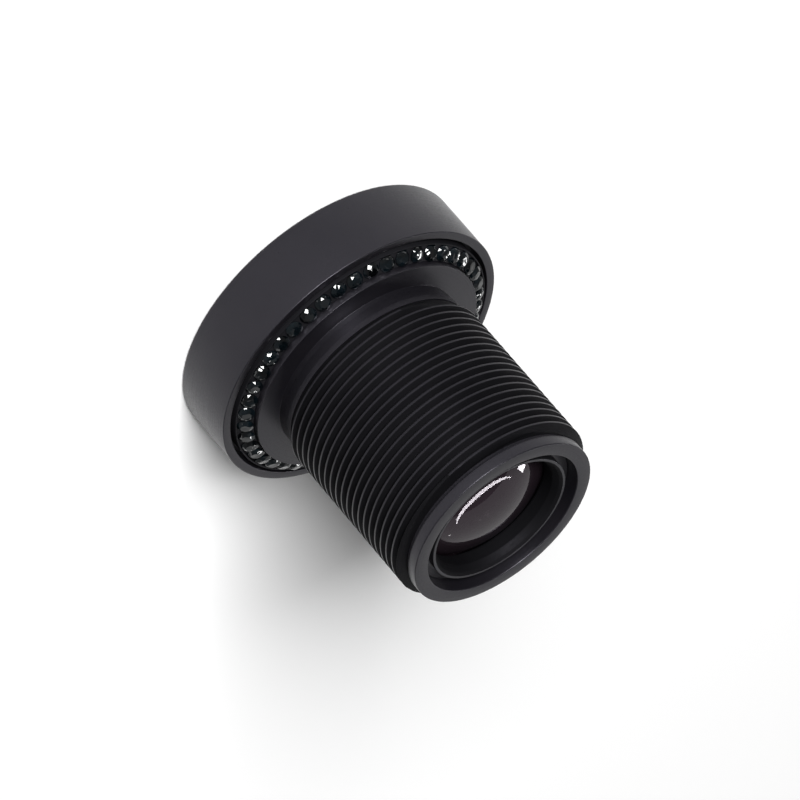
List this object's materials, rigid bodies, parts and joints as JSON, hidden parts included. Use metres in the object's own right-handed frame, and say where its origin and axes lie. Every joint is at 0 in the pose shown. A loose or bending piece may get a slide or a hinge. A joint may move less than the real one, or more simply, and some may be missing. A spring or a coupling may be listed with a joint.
{
  "type": "m12 board camera lens",
  "caption": "Threaded board camera lens with a wide hood, a ring of faceted stones behind its lip, glass elements in a bore, and a coated rear dome.",
  "frame": {"origin": "middle of the front rim of the hood, on the optical axis", "axes": "+Z along the optical axis, from the front rim to the rear face that looks at the sensor; X and Y are square to it and alike"},
  "size_m": [0.0174, 0.0174, 0.0167],
  "materials": {
    "black_anodised_aluminium": "fine turned, bead blasted and anodised black, satin",
    "satin_black_ring": "turned and anodised black, bright on its rim",
    "matte_blackened_ring": "blackened matte, so that it reflects no stray light",
    "black_seal_rubber": "smooth moulded",
    "black_faceted_stone": "polished black facets in a black setting ring",
    "clear_optical_glass": "polished",
    "coated_rear_glass": "polished, with a purple anti-reflection coating"
  },
  "bodies": {
    "root": {"barrel": "black_anodised_aluminium", "hood_ring": "black_anodised_aluminium", "stone_ring": "black_faceted_stone", "front_retaining_ring": "satin_black_ring", "front_seal": "black_seal_rubber", "front_element": "clear_optical_glass", "second_element": "clear_optical_glass", "front_light_shield": "matte_blackened_ring", "first_spacer": "matte_blackened_ring", "third_element": "clear_optical_glass", "second_spacer": "matte_blackened_ring", "aperture_stop": "matte_blackened_ring", "third_spacer": "matte_blackened_ring", "doublet_light_shield": "matte_blackened_ring", "doublet_front_element": "clear_optical_glass", "doublet_rear_element": "clear_optical_glass", "rear_spacer": "matte_blackened_ring", "rear_element": "coated_rear_glass", "rear_retaining_ring": "satin_black_ring"}
  },
  "joints": []
}
